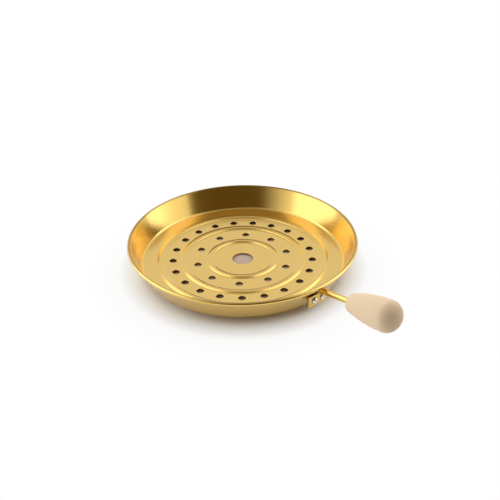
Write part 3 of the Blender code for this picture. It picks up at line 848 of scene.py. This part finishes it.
class STOVE_OT_rivets(bpy.types.Operator):
    """Turn the two rivets, their set tails and the washers inside the wall"""

    bl_idname = "stove.rivets"
    bl_label = "Rivets"

    steps = 40

    def dome(self, foot, base, radius, height, recess=0.0):
        """A dome turned above the points of its foot, with a recess in its crown."""
        crown = base + height
        made = bmesh.new()
        verts = section_line(made, foot + [
            (radius, base),
            (radius, base + 0.35 * height),
            (0.72 * radius, base + 0.85 * height),
            (0.4 * radius, crown),
            (0.26 * radius, crown - recess),
            (0.0, crown - recess),
        ])
        for vert in verts[-5:-2]:
            round_corner(made, vert, 0.12 * radius, segments=4)
        turn(made, self.steps)
        return made

    def rivet(self, handle, layout, side, name):
        tail_base = 2 * handle.seat_gap + handle.washer_thickness
        head_place = layout.rivet_place(side)
        tail_place = layout.wall_place(side, tail_base)
        depth = (tail_place.translation - head_place.translation).length + handle.tail_height / 2
        base, shank = handle.seat_gap, handle.rivet_radius
        foot = [(0.0, -depth), (shank, -depth), (shank, base)]
        head = self.dome(foot, base, handle.head_radius, handle.head_height, handle.head_recess)
        silver = turned_metal(
            "rivet_silver", handle.silver, head_place, roughness=(0.12, 0.22), density=6000.0, tint=0.93
        )
        piece = finish_mesh(f"rivet_{name}_set", head, head_place, silver)
        tail = self.dome([(0.0, 0.0)], 0.0, handle.tail_radius, handle.tail_height)
        bmesh.ops.transform(tail, matrix=tail_place, verts=tail.verts)
        combine(piece, tail, "UNION")
        smooth(piece.data)
        seat(piece, "bright_rivet", f"rivet_{name}")

    def washer(self, handle, layout, side, name):
        half = handle.washer_thickness / 2
        place = layout.wall_place(side, handle.seat_gap + half)
        hole = handle.rivet_radius / math.cos(layout.lean) + handle.seat_gap
        made = bmesh.new()
        tube_section(made, hole, handle.washer_radius, -half, half)
        turn(made, self.steps)
        rims = [edge for edge in made.edges if edge.calc_face_angle(0.0) > math.radians(60.0)]
        bmesh.ops.bevel(
            made, geom=rims, offset=handle.washer_edge, affect="EDGES", segments=2, profile=0.5, material=-1
        )
        silver = turned_metal("washer_silver", handle.silver, place, roughness=(0.2, 0.32), density=5000.0)
        piece = finish_mesh(f"washer_{name}", made, place, silver)
        seat(piece, "bright_rivet", f"rivet_washer_{name}")

    def execute(self, context):
        _, handle, layout = sizes(context)
        for side, name in ((-1, "left"), (1, "right")):
            self.rivet(handle, layout, side, name)
            self.washer(handle, layout, side, name)
        return {"FINISHED"}


class STOVE_OT_rod(bpy.types.Operator):
    """Turn the handle's rod"""

    bl_idname = "stove.rod"
    bl_label = "Rod"

    steps = 64

    def execute(self, context):
        _, handle, layout = sizes(context)
        end = handle.rod_showing + handle.rod_in_grip
        radius = handle.rod_radius
        made = bmesh.new()
        verts = section_line(made, [(0.0, 0.0), (radius, 0.0), (radius, end), (0.0, end)])
        for vert in verts[1:3]:
            round_corner(made, vert, handle.rod_edge, segments=4)
        turn(made, self.steps)
        line = layout.handle_line
        gold = turned_metal(
            "gold_rod", handle.rod_gold, line, roughness=(0.1, 0.16), density=4000.0, tint=0.94
        )
        seat(finish_mesh("rod", made, line, gold), "gold_rod", "handle_rod")
        return {"FINISHED"}


class STOVE_OT_grip(bpy.types.Operator):
    """Turn the wooden grip and the bush that holds the rod in it"""

    bl_idname = "stove.grip"
    bl_label = "Grip"

    steps = 96
    neck_steps = 28
    end_steps = 22

    def outline(self, handle):
        """(radius, distance along): a swelling neck, then a rounded end."""
        widest = handle.grip_length * handle.grip_widest
        points = []
        for k in range(self.neck_steps + 1):
            share = k / self.neck_steps
            swell = math.sin(0.5 * math.pi * share) ** handle.grip_swell
            grown = (handle.grip_radius - handle.grip_face_radius) * swell
            points.append((handle.grip_face_radius + grown, widest * share))
        for k in range(1, self.end_steps + 1):
            share = math.sin(0.5 * math.pi * k / self.end_steps)
            fall = math.sqrt(max(1.0 - share**handle.grip_end_power, 0.0))
            points.append((handle.grip_radius * fall, widest + (handle.grip_length - widest) * share))
        return points

    def bore(self, handle):
        """(radius, distance along): the hole for the rod's end, then the wider one for the bush."""
        bush_hole = handle.insert_radius + handle.seat_gap
        bush_end = handle.insert_length + handle.seat_gap
        rod_hole = handle.rod_radius + handle.seat_gap
        rod_end = handle.rod_in_grip + handle.seat_gap
        return [
            (0.0, rod_end),
            (rod_hole, rod_end),
            (rod_hole, bush_end),
            (bush_hole, bush_end),
            (bush_hole, 0.0),
        ]

    def execute(self, context):
        _, handle, layout = sizes(context)
        place = layout.handle_line @ Matrix.Translation((0.0, 0.0, handle.rod_showing))
        bore = self.bore(handle)
        made = bmesh.new()
        verts = section_line(made, bore + self.outline(handle))
        round_corner(made, verts[len(bore)], handle.grip_edge, segments=4)
        turn(made, self.steps)
        piece = finish_mesh("grip_turned", made, place, wood_material(handle, place))
        seat(piece, "pale_wood", "grip")
        bush = bmesh.new()
        rod_hole = handle.rod_radius + handle.seat_gap
        tube_section(bush, rod_hole, handle.insert_radius, 0.0, handle.insert_length)
        turn(bush, self.steps)
        brass = turned_metal("brass_bush", handle.brass, place, roughness=(0.25, 0.4), density=5000.0)
        seat(finish_mesh("bush", bush, place, brass), "brass_bush", "grip_insert")
        return {"FINISHED"}


class STOVE_OT_wire(bpy.types.Operator):
    """Give the wire inside the rolled rim its drawn steel finish"""

    bl_idname = "stove.wire"
    bl_label = "Rim wire"

    def execute(self, context):
        drawn_steel = context.scene.stove_pan.steel
        steel = turned_metal("steel_wire", drawn_steel, PAN_PLACE, roughness=(0.3, 0.45), density=2500.0)
        node = frame["nodes"]["rim_wire"]
        node.data.materials.clear()
        node.data.materials.append(steel)
        return {"FINISHED"}


class STOVE_OT_stage(bpy.types.Operator):
    """Set the floor, the lamps, the white surroundings and the camera"""

    bl_idname = "stove.stage"
    bl_label = "Stage"

    def camera(self, context, stage, target):
        """Sets the camera, and gives the level direction from the pan towards it."""
        level = Vector((math.cos(stage.camera_side), math.sin(stage.camera_side), 0.0))
        towards = level * math.cos(stage.camera_height) + Vector((0, 0, math.sin(stage.camera_height)))
        data = bpy.data.cameras.new("camera")
        data.lens = stage.lens
        data.sensor_width = stage.sensor
        data.shift_x = stage.shift_x
        data.shift_y = stage.shift_y
        data.clip_start = 10 * MM
        camera = bpy.data.objects.new("camera", data)
        context.scene.collection.objects.link(camera)
        aim = (-towards).to_track_quat("-Z", "Y").to_matrix().to_4x4()
        place = Matrix.Translation(target + towards * stage.camera_distance)
        camera.matrix_world = place @ aim @ Matrix.Rotation(stage.camera_roll, 4, "Z")
        context.scene.camera = camera
        return level

    def floor(self, stage):
        """A pale floor that turns to plain white away from the pan, and keeps the pan's shadow."""
        made = bmesh.new()
        bmesh.ops.create_grid(made, x_segments=4, y_segments=4, size=stage.floor_size)
        material, nodes, links, shader = new_material("pale_floor")
        nodes.remove(shader)
        matt = nodes.new("ShaderNodeBsdfDiffuse")
        matt.inputs["Color"].default_value = (*stage.floor_white, 1.0)
        white = nodes.new("ShaderNodeEmission")
        away, _ = from_axis(nodes, links, own_axes(nodes, links, PAN_PLACE))
        lift = stage.floor_lift
        near = spread(nodes, links, away, to=(0.0, lift), over=(stage.lift_start, stage.lift_near))
        far = spread(nodes, links, away, to=(0.0, 1.0 - lift), over=(stage.lift_near, stage.lift_full))
        lifted = calculate(nodes, links, "ADD", near, far)
        share = calculate(nodes, links, "MULTIPLY", lifted, seen_directly(nodes, links))
        both = nodes.new("ShaderNodeMixShader")
        links.new(share, both.inputs["Fac"])
        links.new(matt.outputs[0], both.inputs[1])
        links.new(white.outputs[0], both.inputs[2])
        links.new(both.outputs[0], nodes["Material Output"].inputs["Surface"])
        finish_mesh("floor", made, PAN_PLACE, material)

    def surroundings(self, scene, stage, front):
        """White to the camera, and to metal a bright room that is darker on the camera's side."""
        world = bpy.data.worlds.new("studio")
        scene.world = world
        world.use_nodes = True
        nodes, links = world.node_tree.nodes, world.node_tree.links
        coordinates = nodes.new("ShaderNodeTexCoord")
        facing = nodes.new("ShaderNodeVectorMath")
        facing.operation = "DOT_PRODUCT"
        facing.inputs[1].default_value = Matrix.Rotation(stage.dark_turn, 3, "Z") @ front
        links.new(coordinates.outputs["Generated"], facing.inputs[0])
        height = nodes.new("ShaderNodeSeparateXYZ")
        links.new(coordinates.outputs["Generated"], height.inputs[0])
        dark_range = (stage.dark_start, stage.dark_full)
        high_range = (stage.overhead_start, stage.overhead_full)
        level = spread(nodes, links, facing.outputs["Value"], to=(stage.room_white, 0.0), over=dark_range)
        above = spread(nodes, links, height.outputs["Z"], to=(1.0, stage.overhead), over=high_range)
        dimmed = calculate(nodes, links, "MULTIPLY", level, above)
        light = nodes.new("ShaderNodeLightPath")
        seen = calculate(nodes, links, "MAXIMUM", light.outputs["Is Camera Ray"], dimmed)
        room = blend_colours(nodes, links, seen, stage.dark_side, (1.0, 1.0, 1.0))
        links.new(room, nodes["Background"].inputs["Color"])

    def softbox(self, context, name, place, target, size, power):
        data = bpy.data.lights.new(name, "AREA")
        data.shape = "RECTANGLE"
        data.size, data.size_y = size
        data.energy = power
        lamp = bpy.data.objects.new(name, data)
        context.scene.collection.objects.link(lamp)
        aim = (place - target).to_track_quat("Z", "Y").to_matrix().to_4x4()
        lamp.matrix_world = Matrix.Translation(place) @ aim

    def lamps(self, context, stage, target, front):
        """A large lamp low on each side, and a smaller one high behind it."""
        right = Vector((-front.y, front.x, 0.0))
        side_size = (stage.side_width, stage.side_depth)
        back_size = (stage.back_width, stage.back_width)
        for name, side in (("left", -1.0), ("right", 1.0)):
            low = target + right * side * stage.side_reach + Vector((0, 0, stage.side_height))
            self.softbox(context, f"side_{name}", low, target, side_size, stage.side_power)
            behind = right * side * stage.back_reach - front * stage.back_distance
            high = target + behind + Vector((0, 0, stage.back_height))
            self.softbox(context, f"back_{name}", high, target, back_size, stage.back_power)

    def execute(self, context):
        scene = context.scene
        stage = scene.stove_stage
        target = PAN_AXIS + Vector((0.0, 0.0, scene.stove_pan.floor_height))
        front = self.camera(context, stage, target)
        self.floor(stage)
        self.surroundings(scene, stage, front)
        self.lamps(context, stage, target, front)
        scene.view_settings.view_transform = "Standard"
        return {"FINISHED"}


class STOVE_PT_panel(bpy.types.Panel):
    """Lists the sizes and the makers of each piece"""

    bl_label = "Stove pan"
    bl_idname = "STOVE_PT_panel"
    bl_space_type = "VIEW_3D"
    bl_region_type = "UI"
    bl_category = "Stove pan"

    def draw(self, context):
        for settings in (context.scene.stove_pan, context.scene.stove_handle, context.scene.stove_stage):
            column = self.layout.column(align=True)
            for name in settings.__annotations__:
                column.prop(settings, name)
        for maker in MAKERS:
            self.layout.operator(maker.bl_idname)


MAKERS = (
    STOVE_OT_pan,
    STOVE_OT_tray,
    STOVE_OT_bracket,
    STOVE_OT_rivets,
    STOVE_OT_rod,
    STOVE_OT_grip,
    STOVE_OT_wire,
    STOVE_OT_stage,
)
CLASSES = (PanSizes, HandleSizes, StageSizes, *MAKERS, STOVE_PT_panel)


def register():
    for item in CLASSES:
        bpy.utils.register_class(item)
    bpy.types.Scene.stove_pan = PointerProperty(type=PanSizes)
    bpy.types.Scene.stove_handle = PointerProperty(type=HandleSizes)
    bpy.types.Scene.stove_stage = PointerProperty(type=StageSizes)


def unregister():
    for name in ("stove_pan", "stove_handle", "stove_stage"):
        delattr(bpy.types.Scene, name)
    for item in reversed(CLASSES):
        bpy.utils.unregister_class(item)


def clear_startup():
    """Removes the startup scene's own cube, lamp and camera, and leaves the frame."""
    kept = set(frame["nodes"].values()) | set(frame["bodies"].values())
    for obj in list(bpy.data.objects):
        if obj not in kept:
            bpy.data.objects.remove(obj, do_unlink=True)


def main():
    clear_startup()
    register()
    bpy.ops.stove.pan()
    bpy.ops.stove.tray()
    bpy.ops.stove.bracket()
    bpy.ops.stove.rivets()
    bpy.ops.stove.rod()
    bpy.ops.stove.grip()
    bpy.ops.stove.wire()
    bpy.ops.stove.stage()


if __name__ == "__main__":
    main()
